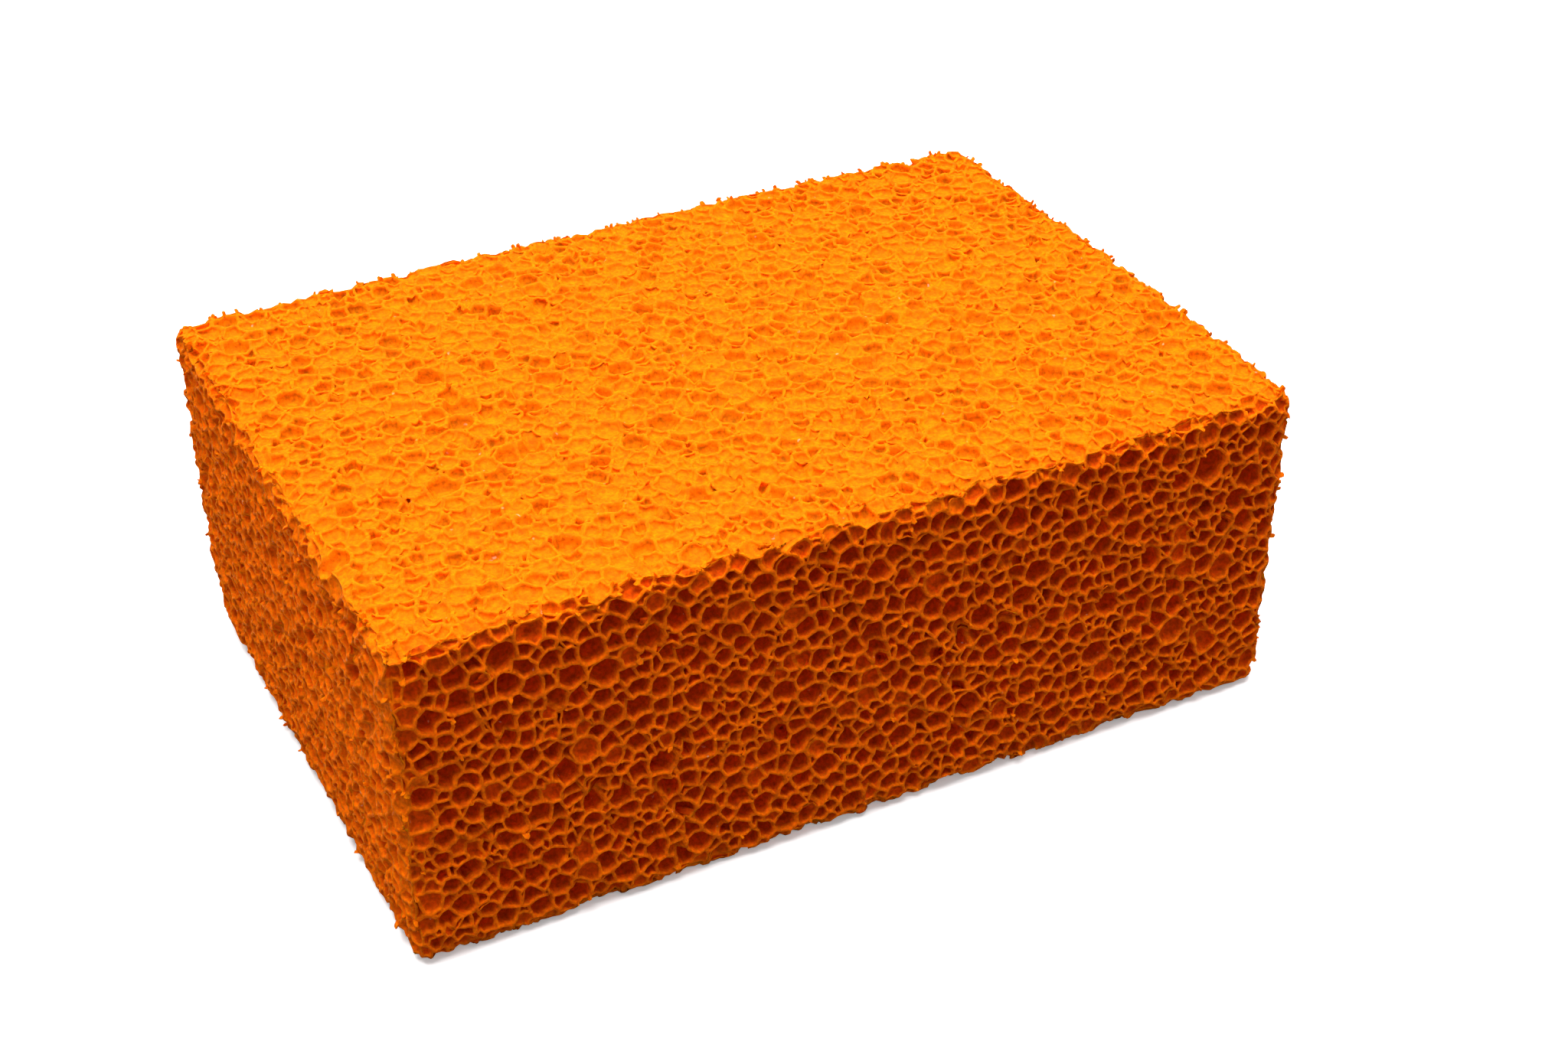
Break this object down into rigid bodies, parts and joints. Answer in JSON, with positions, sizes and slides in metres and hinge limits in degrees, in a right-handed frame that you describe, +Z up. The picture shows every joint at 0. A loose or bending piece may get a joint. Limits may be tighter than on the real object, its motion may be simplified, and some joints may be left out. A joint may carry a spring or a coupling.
{
  "type": "cleaning sponge",
  "caption": "Rectangular block of coarse orange open-cell foam, sawn flat on all sides, with open pits, sharp crests and one rubbed-off lower corner.",
  "frame": {"origin": "centre of the underside, in the plane the block rests on", "axes": "+X along the length, towards the right as seen from the front; +Y along the width, towards the back; +Z up, along the height"},
  "size_m": [0.16, 0.11, 0.06],
  "materials": {
    "foam": "matte open-cell polyurethane foam, slightly translucent at the crests"
  },
  "bodies": {
    "root": {"foam_block": "foam"}
  },
  "joints": []
}
